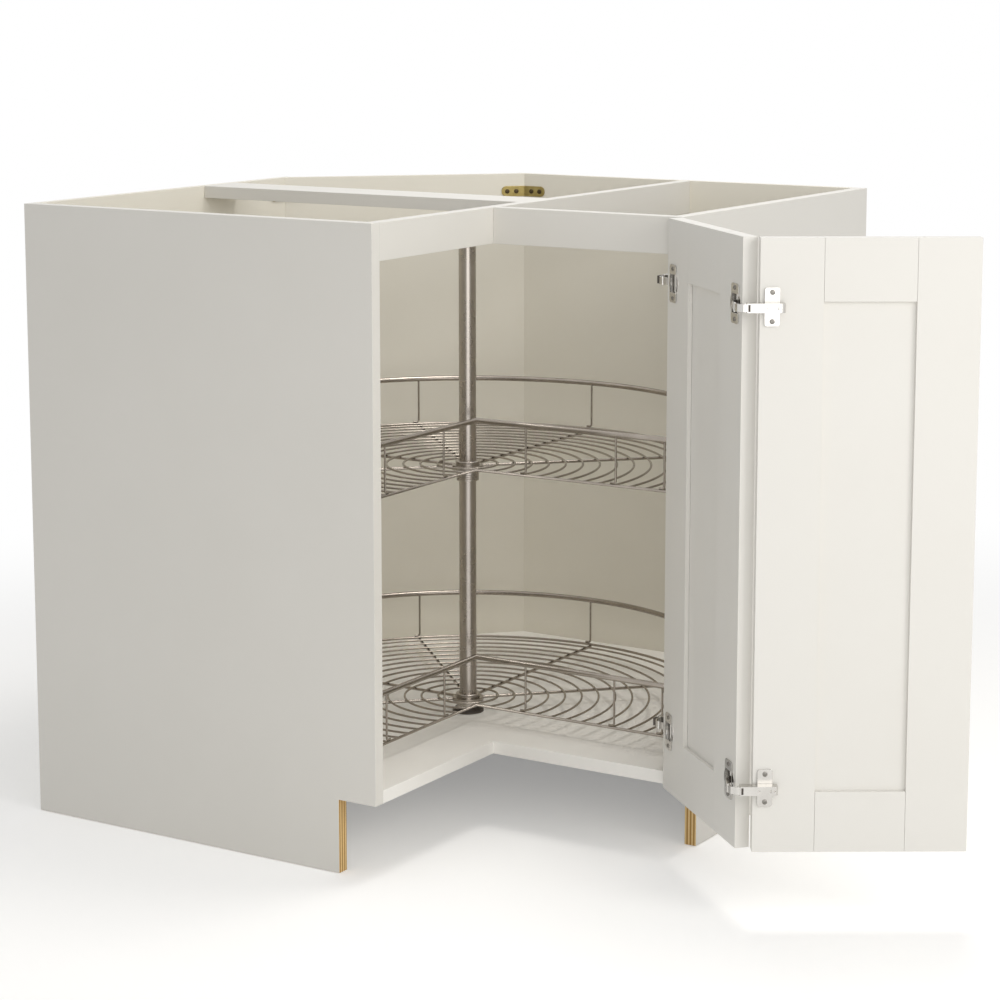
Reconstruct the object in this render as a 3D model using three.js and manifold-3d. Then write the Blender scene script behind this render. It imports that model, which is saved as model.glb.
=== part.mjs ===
// Corner base cabinet with a two-tier wire carousel and a folding pair of shaker doors.
//
// Millimetres, +Z up. While the cabinet is laid out, the origin is the corner of the
// room on the floor: +X runs along the right-hand wall, -Y along the left-hand wall,
// and the L-shaped front faces +X -Y. The whole cabinet is moved at the end, so that
// its origin is the middle of its footprint with the doors standing open.

import * as THREE from 'three';
import { mergeVertices } from 'three/addons/utils/BufferGeometryUtils.js';
import Module from 'manifold-3d';

const wasm = await Module();
wasm.setup();

// ---------------------------------------------------------------- sizes

// Carcass
const WIDTH = 881;               // along each wall
const DEPTH = 588;               // of the side panels, front to back
const HEIGHT = 876;
const BOARD = 18;                // sides, floor, rails and stretcher
const BACK_BOARD = 12;
const CORNER_CUT = 275;          // how far the diagonal back stands in from the room corner
const TOE_HEIGHT = 102;
const TOE_DEPTH = 60;
const RAIL_HEIGHT = 50;
const STRETCHER_WIDTH = 78;
const STRETCHER_OFFSET = 18;     // from the stretcher's centre line to the pole

// Brass strap braces in the rear corners
const BRACE_LEG = 38;
const BRACE_HEIGHT = 16.5;
const BRACE_THICKNESS = 1.6;
const BRACE_DROP = 28;           // from the top edge down to the strap's centre
const BRACE_HOLE = 2.4;
const BRACE_HOLES_ALONG = [12, 28];

// Doors
const DOOR_THICKNESS = 19;
const DOOR_GAP = 2.5;            // between a closed door and the carcass
const DOOR_SIDE_REVEAL = 0.5;    // from the door's edge in to the side panel's outer face
const DOOR_END_REVEAL = 0.5;     // above the floor's underside and below the top
const STILE = 78;
const DOOR_PANEL = 7;
const GROOVE_DEPTH = 9;
const JOINERY_GAP = 0.3;         // between the pieces of a door
const FOLD_GAP = 1.2;            // from each door's edge to the fold line
const OPEN_ANGLE = 138;          // how far the doors stand open
const FOLD_OPENING = 15.5;       // how far the pair has unfolded past its closed right angle
const OPEN_EDGE_GAP = 0.85;      // from the open door's edge to the side panel's corner
const OPEN_FACE_GAP = 19.2;      // from the open door's back face past the same corner

// Concealed hinges
const CUP_RADIUS = 17.5;
const CUP_DEPTH = 12;
const CUP_WALL = 1;
const CUP_SETBACK = 22.5;        // from the door's edge to the cup's centre
const FLANGE_LENGTH = 50;
const FLANGE_WIDTH = 24;
const FLANGE_THICKNESS = 1.2;
const FLANGE_CHAMFER = 4;
const FLANGE_SCREW_INSET = 5.5;  // screw centres, from the flange's ends
const FLANGE_HOLE = 1.8;
const HINGE_END_DISTANCE = 84;   // from the door's ends to the hinges
const PLATE_LENGTH = 48;
const PLATE_WIDTH = 19;
const PLATE_THICKNESS = 2.4;
const PLATE_CHAMFER = 3;
const PLATE_SCREW_SPACING = 36;
const SCREW_HOLE = 2.6;
const PLATE_SETBACK = 37;        // plate's centre line, from the side panel's front edge
const FOLD_PLATE_SETBACK = 15;   // plate's centre line, from the folding door's edge
const ARM_HEIGHT = 13.5;
const ARM_REACH = 17;            // how far the arm stands off what it is screwed to
const ARM_WALL = 1.6;
const ARM_REAR = 42;             // side arm, behind its plate's centre line
const SIDE_ARM_SHORT = 12;       // side arm's open end, behind the side panel's front edge
const FOLD_ARM_REACH = 17;       // fold arm's open end, past the folding door's edge
const LINK_HEIGHT = 10.3;
const LINK_THICKNESS = 2.4;
const LINK_OVERLAP = 12;         // link, inside its arm
const FOLD_LINK_DEPTH = 3.9;     // closed link's end, inside the cup

// Carousel
const POLE_RADIUS = 12.5;
const POLE_SETBACK = 117;        // pole axis, behind the carcass's inner front corner
const FOOT_RADIUS = 23;
const FOOT_HEIGHT = 8;
const TRAY_CLEARANCE = 28;       // between a guard rail and the nearest board
const NOTCH = 38.5;              // from the pole axis to each straight edge of the pie cut
const TRAY_LIFT = 23;            // from the floor panel up to the lower tray's wires
const TRAY_SPACING = 347;        // from the lower tray's wires up to the upper tray's
const GALLERY_RISE = 72;         // from a tray's wires up to its guard rail
const WIRE = 1.6;                // radius of the tray's curved wires
const RIM_WIRE = 2;
const SPOKE = 2.2;
const POST = 1.5;
const GUARD_RAIL = 4;
const FIRST_ARC = 44;
const ARC_PITCH = 24.7;
const RIM_BEND = 14;             // radius of the bends where the pie cut meets the circle
const WELD = 0.4;                // how far crossing wires sink into each other
const CIRCLE_LAP = 0.002;        // radians that a rim's circle runs into its bends
const BEND_LAP = 0.05;           // radians that a bend runs into its neighbours
const CORNER_SWELL = 1.04;       // weld at the pie cut's inner corner, times the wire's radius
const POSTS_ALONG_CUT = [84, 230];
const HUB_WALL = 4;
const HUB_FLANGE = 6;
const HUB_FLANGE_THICKNESS = 3;
const HUB_RISE = 5;              // hub above the tray's wires
const COLLAR_HEIGHT = 9;
const COLLAR_WALL = 3.5;
const TURNING_GAP = 0.3;

// Facets
const WIRE_SIDES = 4;
const RAIL_SIDES = 6;
const CIRCLE_STEPS = 32;         // round a tray's rim
const BEND_STEPS = 4;
const ROUND_SEGMENTS = 20;       // round the hubs, collar, foot and hinge cups

// Derived positions
const DIAGONAL_END = BACK_BOARD + CORNER_CUT;
const INNER_SIDE = WIDTH - BOARD;
const FLOOR_TOP = TOE_HEIGHT + BOARD;
const LOWER_SHELF = FLOOR_TOP + TRAY_LIFT;
const UPPER_SHELF = LOWER_SHELF + TRAY_SPACING;
const POLE_FROM_WALL = DEPTH - POLE_SETBACK;
const SHELF_RADIUS = Math.min(
    POLE_FROM_WALL - BACK_BOARD,
    INNER_SIDE - POLE_FROM_WALL,
    (2 * POLE_FROM_WALL - DIAGONAL_END - BACK_BOARD) / Math.SQRT2,
) - GUARD_RAIL - TRAY_CLEARANCE;
const DOOR_BACK = DEPTH + DOOR_GAP;
const FOLD_LINE = DOOR_BACK + DOOR_THICKNESS;
const DOOR_WIDTH = WIDTH - DOOR_SIDE_REVEAL - FOLD_LINE - FOLD_GAP;
const DOOR_HEIGHT = HEIGHT - TOE_HEIGHT - 2 * DOOR_END_REVEAL;
const DOOR_BOTTOM = TOE_HEIGHT + DOOR_END_REVEAL;
const HINGE_HEIGHTS = [HINGE_END_DISTANCE, DOOR_HEIGHT - HINGE_END_DISTANCE];
const FOLD = new THREE.Vector3(FOLD_LINE, -FOLD_LINE, 0);
const PIVOT = doorPivot();

// The side hinge's pivot is the one point about which the closed door turns to where it
// stands open: the corner of its back face and its hinged edge goes from closed to open.
function doorPivot() {
    const turn = THREE.MathUtils.degToRad(OPEN_ANGLE);
    const alongDoor = new THREE.Vector2(-1, 0).rotateAround(new THREE.Vector2(), turn);
    const intoDoor = new THREE.Vector2(0, -1).rotateAround(new THREE.Vector2(), turn);
    const closed = new THREE.Vector2(WIDTH - DOOR_SIDE_REVEAL, -DOOR_BACK);
    const open = new THREE.Vector2(WIDTH, -DEPTH)
        .addScaledVector(alongDoor, OPEN_EDGE_GAP)
        .addScaledVector(intoDoor, -OPEN_FACE_GAP);
    const move = open.clone().sub(closed);
    const aside = new THREE.Vector2(-move.y, move.x).multiplyScalar(0.5 / Math.tan(turn / 2));
    const pivot = closed.clone().addScaledVector(move, 0.5).add(aside);
    return new THREE.Vector3(pivot.x, pivot.y, 0);
}

// ---------------------------------------------------------------- materials

function material(color, roughness, metalness = 0) {
    return new THREE.MeshStandardMaterial({ color, roughness, metalness });
}

const PAINT = material(0xe6e3dc, 0.45);
const INTERIOR = material(0xcfc6b8, 0.5);
const BRASS = material(0xa89452, 0.35, 1);
const NICKEL = material(0xb9b4ac, 0.25, 1);
const STEEL = material(0x8f8880, 0.3, 1);
const BEARING = material(0x3c3733, 0.6);

// ---------------------------------------------------------------- solids

// A closed geometry becomes a solid that can be joined and cut.
function toSolid(geometry) {
    const bare = new THREE.BufferGeometry();
    bare.setAttribute('position', geometry.getAttribute('position').clone());
    if (geometry.index) {
        bare.setIndex(geometry.index.clone());
    }
    const merged = mergeVertices(bare, 1e-4);
    const triVerts = Uint32Array.from(merged.index.array);
    const vertProperties = Float32Array.from(merged.getAttribute('position').array);
    return new wasm.Manifold(new wasm.Mesh({ numProp: 3, vertProperties, triVerts }));
}

function toGeometry(solid) {
    const { vertProperties, triVerts } = solid.getMesh();
    const geometry = new THREE.BufferGeometry();
    geometry.setAttribute('position', new THREE.BufferAttribute(vertProperties, 3));
    geometry.setIndex(new THREE.BufferAttribute(triVerts, 1));
    const faceted = geometry.toNonIndexed();
    faceted.computeVertexNormals();
    return faceted;
}

function join(geometries) {
    const whole = geometries.map(toSolid).reduce((sum, solid) => sum.add(solid));
    return toGeometry(whole);
}

function cut(geometry, tools) {
    const rest = tools.map(toSolid).reduce((left, tool) => left.subtract(tool), toSolid(geometry));
    return toGeometry(rest);
}

function extrude(points, depth) {
    const shape = new THREE.Shape(points.map(([x, y]) => new THREE.Vector2(x, y)));
    return new THREE.ExtrudeGeometry(shape, { depth, bevelEnabled: false });
}

// A box from its low and high corners.
function box([x0, y0, z0], [x1, y1, z1]) {
    const geometry = new THREE.BoxGeometry(x1 - x0, y1 - y0, z1 - z0);
    return geometry.translate((x0 + x1) / 2, (y0 + y1) / 2, (z0 + z1) / 2);
}

// A board seen from above: points are [along the right wall, along the left wall].
function planBoard(points, bottom, top) {
    const outline = points.map(([right, left]) => [right, -left]);
    return extrude(outline, top - bottom).translate(0, 0, bottom);
}

// A straight round bar between two points.
function rod(from, to, radius, sides) {
    const direction = new THREE.Vector3().subVectors(to, from);
    const geometry = new THREE.CylinderGeometry(radius, radius, direction.length(), sides);
    const turn = new THREE.Quaternion().setFromUnitVectors(
        new THREE.Vector3(0, 1, 0), direction.clone().normalize());
    const middle = new THREE.Vector3().addVectors(from, to).multiplyScalar(0.5);
    return geometry.applyQuaternion(turn).translate(middle.x, middle.y, middle.z);
}

function upright(radius, bottom, top, sides) {
    return rod(new THREE.Vector3(0, 0, bottom), new THREE.Vector3(0, 0, top), radius, sides);
}

// A level arc, as a path for a wire to follow.
class LevelArc extends THREE.Curve {
    constructor(centre, radius, from, to, height) {
        super();
        Object.assign(this, { centre, radius, from, to, height });
    }

    getPoint(t, target = new THREE.Vector3()) {
        const angle = this.from + (this.to - this.from) * t;
        return target.set(
            this.centre[0] + this.radius * Math.cos(angle),
            this.centre[1] + this.radius * Math.sin(angle),
            this.height);
    }
}

function wireSection(radius, sides) {
    const corners = Array.from({ length: sides }, (_, i) => {
        const angle = (i / sides) * 2 * Math.PI;
        return new THREE.Vector2(radius * Math.cos(angle), radius * Math.sin(angle));
    });
    return new THREE.Shape(corners);
}

function arcWire(centre, arcRadius, from, to, height, radius, sides, steps) {
    const extrudePath = new LevelArc(centre, arcRadius, from, to, height);
    return new THREE.ExtrudeGeometry(wireSection(radius, sides), { steps, extrudePath });
}

function ring(inner, outer, bottom, top, segments) {
    const profile = [[inner, bottom], [outer, bottom], [outer, top], [inner, top], [inner, bottom]];
    return turned(profile, segments);
}

// A profile of [radius, height] turned about the upright axis.
function turned(profile, segments) {
    const points = profile.map(([radius, height]) => new THREE.Vector2(radius, height));
    return new THREE.LatheGeometry(points, segments).rotateX(Math.PI / 2);
}

// ---------------------------------------------------------------- assembly

const cabinet = new THREE.Group();

function add(name, geometry, finish, parent = cabinet) {
    const mesh = new THREE.Mesh(geometry, finish);
    mesh.name = name;
    parent.add(mesh);
    return mesh;
}

// ---------------------------------------------------------------- carcass

// Side panels, with the notch for toes cut out of the lower front corner.
const sideOutline = [
    [0, 0],
    [DEPTH - TOE_DEPTH, 0],
    [DEPTH - TOE_DEPTH, TOE_HEIGHT],
    [DEPTH, TOE_HEIGHT],
    [DEPTH, HEIGHT],
    [0, HEIGHT],
];
const leftSide = extrude(sideOutline, BOARD).applyMatrix4(new THREE.Matrix4().makeBasis(
    new THREE.Vector3(1, 0, 0), new THREE.Vector3(0, 0, 1), new THREE.Vector3(0, -1, 0)));
add('side_panel_left', leftSide.translate(0, -INNER_SIDE, 0), PAINT);

const rightSide = extrude(sideOutline, BOARD).applyMatrix4(new THREE.Matrix4().makeBasis(
    new THREE.Vector3(0, -1, 0), new THREE.Vector3(0, 0, 1), new THREE.Vector3(-1, 0, 0)));
add('side_panel_right', rightSide.translate(WIDTH, 0, 0), PAINT);

// Backs: one against each wall, and one across the corner that butts against both.
const diagonalHeel = DIAGONAL_END - BACK_BOARD * Math.SQRT2;
const rightBack = [
    [diagonalHeel, 0],
    [INNER_SIDE, 0],
    [INNER_SIDE, BACK_BOARD],
    [diagonalHeel, BACK_BOARD],
];
const diagonal = [
    [DIAGONAL_END, BACK_BOARD],
    [BACK_BOARD, DIAGONAL_END],
    [BACK_BOARD, diagonalHeel],
    [diagonalHeel, BACK_BOARD],
];
add('back_right', planBoard(rightBack, 0, HEIGHT), INTERIOR);
add('back_left', planBoard(rightBack.map(([right, left]) => [left, right]), 0, HEIGHT), INTERIOR);
add('back_diagonal', planBoard(diagonal, 0, HEIGHT), INTERIOR);

const floorOutline = [
    [DIAGONAL_END, BACK_BOARD],
    [INNER_SIDE, BACK_BOARD],
    [INNER_SIDE, DEPTH],
    [DEPTH, DEPTH],
    [DEPTH, INNER_SIDE],
    [BACK_BOARD, INNER_SIDE],
    [BACK_BOARD, DIAGONAL_END],
];
add('floor_panel', planBoard(floorOutline, TOE_HEIGHT, FLOOR_TOP), INTERIOR);

// Top rails: the long one runs from the left side panel through to the right back.
const railBack = DEPTH - BOARD;
add('top_rail_long', box(
    [railBack, -INNER_SIDE, HEIGHT - RAIL_HEIGHT],
    [DEPTH, -BACK_BOARD, HEIGHT]), PAINT);
add('top_rail_right', box(
    [DEPTH, -DEPTH, HEIGHT - RAIL_HEIGHT],
    [INNER_SIDE, -railBack, HEIGHT]), PAINT);

const stretcherMiddle = POLE_FROM_WALL - STRETCHER_OFFSET;
add('carousel_stretcher', box(
    [BACK_BOARD, -(stretcherMiddle + STRETCHER_WIDTH / 2), HEIGHT - BOARD],
    [railBack, -(stretcherMiddle - STRETCHER_WIDTH / 2), HEIGHT]), PAINT);

// Brass straps bent to the corner between a wall back and the diagonal back. The strap
// is drawn in plan with its bend at the origin, one leg along +X and one at 135 degrees.
function cornerBrace() {
    const bend = BRACE_THICKNESS * Math.tan(Math.PI / 8);
    const slant = Math.SQRT1_2;
    const strap = extrude([
        [0, 0],
        [BRACE_LEG, 0],
        [BRACE_LEG, BRACE_THICKNESS],
        [bend, BRACE_THICKNESS],
        [-BRACE_LEG * slant + BRACE_THICKNESS * slant, BRACE_LEG * slant + BRACE_THICKNESS * slant],
        [-BRACE_LEG * slant, BRACE_LEG * slant],
    ], BRACE_HEIGHT).translate(0, 0, -BRACE_HEIGHT / 2);
    const holes = BRACE_HOLES_ALONG.flatMap((along) => {
        const reach = new THREE.Vector3(0, 3 * BRACE_THICKNESS, 0);
        const straight = new THREE.Vector3(along, 0, 0);
        const hole = rod(straight.clone().sub(reach), straight.clone().add(reach), BRACE_HOLE, 10);
        return [hole, hole.clone().rotateZ(-Math.PI / 4).rotateY(Math.PI)];
    });
    return cut(strap, holes);
}

const braceHeight = HEIGHT - BRACE_DROP;
const rightBrace = add('corner_brace_right', cornerBrace().rotateX(Math.PI), BRASS);
rightBrace.position.set(DIAGONAL_END, -BACK_BOARD, braceHeight);
const leftBrace = add('corner_brace_left', cornerBrace().rotateZ(-Math.PI / 2), BRASS);
leftBrace.position.set(BACK_BOARD, -DIAGONAL_END, braceHeight);

// ---------------------------------------------------------------- hinges

const holeAcross = new THREE.Vector3(0, CUP_DEPTH, 0);

// A hinge cup in the frame of the door's back face: +Y goes into the door. The flange
// lies on the back face and the bowl is let into the door behind it.
function hingeCup() {
    const bowl = turned([
        [0, CUP_DEPTH],
        [0, CUP_DEPTH - CUP_WALL],
        [CUP_RADIUS - CUP_WALL, CUP_DEPTH - CUP_WALL],
        [CUP_RADIUS - CUP_WALL, -FLANGE_THICKNESS],
        [CUP_RADIUS, -FLANGE_THICKNESS],
        [CUP_RADIUS, CUP_DEPTH],
        [0, CUP_DEPTH],
    ], ROUND_SEGMENTS).rotateX(-Math.PI / 2);
    const half = FLANGE_LENGTH / 2;
    const side = FLANGE_WIDTH / 2;
    const flange = extrude([
        [-side, -half + FLANGE_CHAMFER],
        [-side + FLANGE_CHAMFER, -half],
        [side - FLANGE_CHAMFER, -half],
        [side, -half + FLANGE_CHAMFER],
        [side, half - FLANGE_CHAMFER],
        [side - FLANGE_CHAMFER, half],
        [-side + FLANGE_CHAMFER, half],
        [-side, half - FLANGE_CHAMFER],
    ], FLANGE_THICKNESS).rotateX(Math.PI / 2).translate(0, -JOINERY_GAP, 0);
    const opening = new THREE.CylinderGeometry(
        CUP_RADIUS - CUP_WALL, CUP_RADIUS - CUP_WALL,
        4 * FLANGE_THICKNESS, ROUND_SEGMENTS);
    const screws = [-1, 1].map((end) => {
        const at = new THREE.Vector3(0, 0, end * (half - FLANGE_SCREW_INSET));
        return rod(at.clone().sub(holeAcross), at.clone().add(holeAcross), FLANGE_HOLE, 8);
    });
    return cut(join([cut(flange, [opening]), bowl]), screws);
}

// A wing plate lying on the plane y = 0 and standing off it towards -Y.
function hingePlate() {
    const half = PLATE_LENGTH / 2;
    const side = PLATE_WIDTH / 2;
    const plate = extrude([
        [-side, -half + PLATE_CHAMFER],
        [-side + PLATE_CHAMFER, -half],
        [side - PLATE_CHAMFER, -half],
        [side, -half + PLATE_CHAMFER],
        [side, half - PLATE_CHAMFER],
        [side - PLATE_CHAMFER, half],
        [-side + PLATE_CHAMFER, half],
        [-side, half - PLATE_CHAMFER],
    ], PLATE_THICKNESS).rotateX(Math.PI / 2);
    const holes = [-1, 1].map((end) => {
        const at = new THREE.Vector3(0, 0, end * PLATE_SCREW_SPACING / 2);
        return rod(at.clone().sub(holeAcross), at.clone().add(holeAcross), SCREW_HOLE, 10);
    });
    return cut(plate, holes);
}

// An arm of channel section along X from x0 to x1, open towards y = 0 and at both ends,
// with a bent link: path holds the link's [x, y] points, from inside the arm outwards.
function hingeArm(x0, x1, path) {
    const base = -PLATE_THICKNESS - JOINERY_GAP;
    const outside = box([x0, -ARM_REACH, -ARM_HEIGHT / 2], [x1, base, ARM_HEIGHT / 2]);
    const hollow = box(
        [x0 - 1, -ARM_REACH + ARM_WALL, -ARM_HEIGHT / 2 + ARM_WALL],
        [x1 + 1, base + 1, ARM_HEIGHT / 2 - ARM_WALL]);
    const channel = cut(outside, [hollow]);
    return join([channel, bentStrap(path)]);
}

// A strap that follows level points, mitred at the bends.
function bentStrap(path) {
    const points = path.map(([x, y]) => new THREE.Vector2(x, y));
    const offsets = points.map((point, i) => {
        const before = points[Math.max(i - 1, 0)];
        const after = points[Math.min(i + 1, points.length - 1)];
        const into = new THREE.Vector2().subVectors(point, before);
        const out = new THREE.Vector2().subVectors(after, point);
        const first = into.length() ? into.normalize() : out.clone().normalize();
        const second = out.length() ? out.normalize() : first.clone();
        const middle = first.clone().add(second).normalize();
        const reach = LINK_THICKNESS / 2 / middle.dot(second);
        return new THREE.Vector2(-middle.y, middle.x).multiplyScalar(reach);
    });
    const left = points.map((point, i) => point.clone().add(offsets[i]).toArray());
    const right = points.map((point, i) => point.clone().sub(offsets[i]).toArray());
    return extrude([...left, ...right.reverse()], LINK_HEIGHT).translate(0, 0, -LINK_HEIGHT / 2);
}

// ---------------------------------------------------------------- doors

// A shaker door in its own frame: X runs from its first edge to its second, Y from its
// back face to its front face, Z up. cupsAt lists how far along X its hinge cups sit.
function doorLeaf(prefix, cupsAt, parent) {
    const grooveFront = (DOOR_THICKNESS + DOOR_PANEL) / 2 + JOINERY_GAP;
    const grooveBack = (DOOR_THICKNESS - DOOR_PANEL) / 2 - JOINERY_GAP;
    const railFrom = STILE + JOINERY_GAP;
    const railTo = DOOR_WIDTH - STILE - JOINERY_GAP;
    const bores = cupsAt.flatMap((along) => HINGE_HEIGHTS.map((height) => {
        const bore = new THREE.CylinderGeometry(
            CUP_RADIUS + JOINERY_GAP, CUP_RADIUS + JOINERY_GAP, 2 * (CUP_DEPTH + JOINERY_GAP),
            ROUND_SEGMENTS);
        return { along, bore: bore.translate(along, 0, height) };
    }));

    function stile(name, from, grooveAt) {
        const body = box([from, 0, 0], [from + STILE, DOOR_THICKNESS, DOOR_HEIGHT]);
        const groove = box([grooveAt, grooveBack, -1],
            [grooveAt + GROOVE_DEPTH + 1, grooveFront, DOOR_HEIGHT + 1]);
        const mine = bores.filter(({ along }) => along > from && along < from + STILE);
        add(`${prefix}_${name}`, cut(body, [groove, ...mine.map(({ bore }) => bore)]), PAINT, parent);
    }

    function rail(name, bottom, grooveAt) {
        const body = box([railFrom, 0, bottom], [railTo, DOOR_THICKNESS, bottom + STILE]);
        const tongue = box(
            [railFrom - GROOVE_DEPTH + 1, grooveBack + JOINERY_GAP, bottom],
            [railTo + GROOVE_DEPTH - 1, grooveFront - JOINERY_GAP, bottom + STILE]);
        const groove = box([0, grooveBack, grooveAt],
            [DOOR_WIDTH, grooveFront, grooveAt + GROOVE_DEPTH + 1]);
        add(`${prefix}_${name}`, cut(join([body, tongue]), [groove]), PAINT, parent);
    }

    stile('stile_first', 0, STILE - GROOVE_DEPTH);
    stile('stile_second', DOOR_WIDTH - STILE, DOOR_WIDTH - STILE - 1);
    rail('rail_bottom', 0, STILE - GROOVE_DEPTH);
    rail('rail_top', DOOR_HEIGHT - STILE, DOOR_HEIGHT - STILE - 1);
    const sunk = GROOVE_DEPTH - 2 * JOINERY_GAP;
    add(`${prefix}_panel`, box(
        [STILE - sunk, grooveBack + JOINERY_GAP, STILE - sunk],
        [DOOR_WIDTH - STILE + sunk, grooveFront - JOINERY_GAP, DOOR_HEIGHT - STILE + sunk],
    ), PAINT, parent);
}

// The right-hand door turns on the side panel, and the left-hand door on its free edge.
const rightDoor = new THREE.Group();
rightDoor.position.copy(PIVOT);
rightDoor.rotation.z = THREE.MathUtils.degToRad(OPEN_ANGLE);
cabinet.add(rightDoor);

const rightLeaf = new THREE.Group();
rightLeaf.position.set(WIDTH - DOOR_SIDE_REVEAL, -DOOR_BACK, DOOR_BOTTOM).sub(PIVOT);
rightLeaf.rotation.z = Math.PI;
rightDoor.add(rightLeaf);
doorLeaf('door_right', [CUP_SETBACK, DOOR_WIDTH - CUP_SETBACK], rightLeaf);

const leftDoor = new THREE.Group();
leftDoor.position.copy(FOLD).sub(PIVOT);
leftDoor.rotation.z = -THREE.MathUtils.degToRad(FOLD_OPENING);
rightDoor.add(leftDoor);

const leftLeaf = new THREE.Group();
leftLeaf.position.set(DOOR_BACK, -FOLD_LINE - FOLD_GAP, DOOR_BOTTOM).sub(FOLD);
leftLeaf.rotation.z = -Math.PI / 2;
leftDoor.add(leftLeaf);
doorLeaf('door_left', [], leftLeaf);

// Hinges, lower and upper. The side hinges stand on the right side panel; the fold
// hinges stand on the left-hand door and reach into cups in the right-hand door. Their
// arms and links are drawn in the frame of the plate that carries them.
const linkLevel = -ARM_REACH + ARM_WALL + LINK_THICKNESS / 2;
const sideArm = [-ARM_REAR, PLATE_SETBACK - SIDE_ARM_SHORT];
const cupMouth = PLATE_SETBACK + DOOR_GAP;
const sideLink = [
    [sideArm[1] - LINK_OVERLAP, linkLevel],
    [cupMouth - 4, linkLevel],
    [cupMouth + 3, linkLevel + 3.5],
    [cupMouth + 7, linkLevel + 9.5],
    [cupMouth + 8.5, linkLevel + 17.5],
];

// The fold link, closed: out of the arm, round the folding edge behind the back face of
// the right-hand door, and into the middle of its cup.
const foldArm = [-FOLD_PLATE_SETBACK - FOLD_ARM_REACH, FOLD_PLATE_SETBACK];
const backFace = -FOLD_PLATE_SETBACK - FOLD_GAP - DOOR_THICKNESS;
const cupMiddle = CUP_SETBACK + FOLD_GAP + DOOR_THICKNESS;
const foldLink = [
    [foldArm[0] + LINK_OVERLAP, linkLevel],
    [backFace - 1, linkLevel],
    [backFace - 7.5, linkLevel + 4.5],
    [backFace - 10.5, linkLevel + 14],
    [backFace - 10.5, cupMiddle - 19],
    [backFace - 7.5, cupMiddle - 9],
    [backFace, cupMiddle - 3.6],
    [backFace + FOLD_LINK_DEPTH, cupMiddle - 2],
];

['lower', 'upper'].forEach((level, i) => {
    const height = HINGE_HEIGHTS[i];

    const sideCup = add(`side_hinge_cup_${level}`, hingeCup(), NICKEL, rightLeaf);
    sideCup.position.set(CUP_SETBACK, 0, height);
    const foldCup = add(`fold_hinge_cup_${level}`, hingeCup(), NICKEL, rightLeaf);
    foldCup.position.set(DOOR_WIDTH - CUP_SETBACK, 0, height);

    const sideMount = new THREE.Group();
    sideMount.position.set(INNER_SIDE, -(DEPTH - PLATE_SETBACK), DOOR_BOTTOM + height);
    sideMount.rotation.z = -Math.PI / 2;
    cabinet.add(sideMount);
    add(`side_hinge_plate_${level}`, hingePlate(), NICKEL, sideMount);
    add(`side_hinge_arm_${level}`, hingeArm(...sideArm, sideLink), NICKEL, sideMount);

    const foldMount = new THREE.Group();
    foldMount.position.set(FOLD_PLATE_SETBACK, -JOINERY_GAP, height);
    leftLeaf.add(foldMount);
    add(`fold_hinge_plate_${level}`, hingePlate(), NICKEL, foldMount);
    add(`fold_hinge_arm_${level}`, hingeArm(...foldArm, foldLink), NICKEL, foldMount);
});

// ---------------------------------------------------------------- carousel

const pole = upright(POLE_RADIUS, FLOOR_TOP + FOOT_HEIGHT, HEIGHT - BOARD, ROUND_SEGMENTS);
const foot = turned([
    [0, 0],
    [FOOT_RADIUS, 0],
    [FOOT_RADIUS, FOOT_HEIGHT * 0.5],
    [POLE_RADIUS + HUB_WALL, FOOT_HEIGHT],
    [0, FOOT_HEIGHT],
], ROUND_SEGMENTS);
const poleAt = [POLE_FROM_WALL, -POLE_FROM_WALL];
add('pole', pole, STEEL).position.set(...poleAt, 0);
add('pole_foot', foot, BEARING).position.set(...poleAt, FLOOR_TOP);

// The pie cut: the straight edges run towards +X and -Y from its inner corner, and each
// ends in a bend that joins it to the circle.
const cutCorner = [NOTCH, -NOTCH];
const bendOffset = NOTCH - RIM_BEND;
const bendAlong = Math.sqrt((SHELF_RADIUS - RIM_BEND) ** 2 - bendOffset ** 2);
const bendAngle = Math.atan2(bendOffset, bendAlong);

// The outline of a tray as closed wires: the circle, two bends and the pie cut's edges.
function outline(height, radius, sides, arcSteps) {
    const corner = new THREE.Vector3(...cutCorner, height);
    const circle = arcWire([0, 0], SHELF_RADIUS, -bendAngle - CIRCLE_LAP,
        1.5 * Math.PI + bendAngle + CIRCLE_LAP, height, radius, sides, arcSteps);
    const rightBend = arcWire([bendAlong, -bendOffset], RIM_BEND, -Math.PI / 2 - BEND_LAP,
        -bendAngle + BEND_LAP, height, radius, sides, BEND_STEPS);
    const leftBend = arcWire([bendOffset, -bendAlong], RIM_BEND, -Math.PI / 2 + bendAngle - BEND_LAP,
        BEND_LAP, height, radius, sides, BEND_STEPS);
    return [
        circle,
        rightBend,
        leftBend,
        rod(corner, new THREE.Vector3(bendAlong, -NOTCH, height), radius, sides),
        rod(corner, new THREE.Vector3(NOTCH, -bendAlong, height), radius, sides),
        new THREE.SphereGeometry(radius * CORNER_SWELL, 8, 6).translate(corner.x, corner.y, corner.z),
    ];
}

// Spokes leave the hub every eighth of a turn, except towards the pie cut.
const spokeAngles = [1, 2, 3, 4, 5].map((eighth) => eighth * Math.PI / 4);

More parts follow.
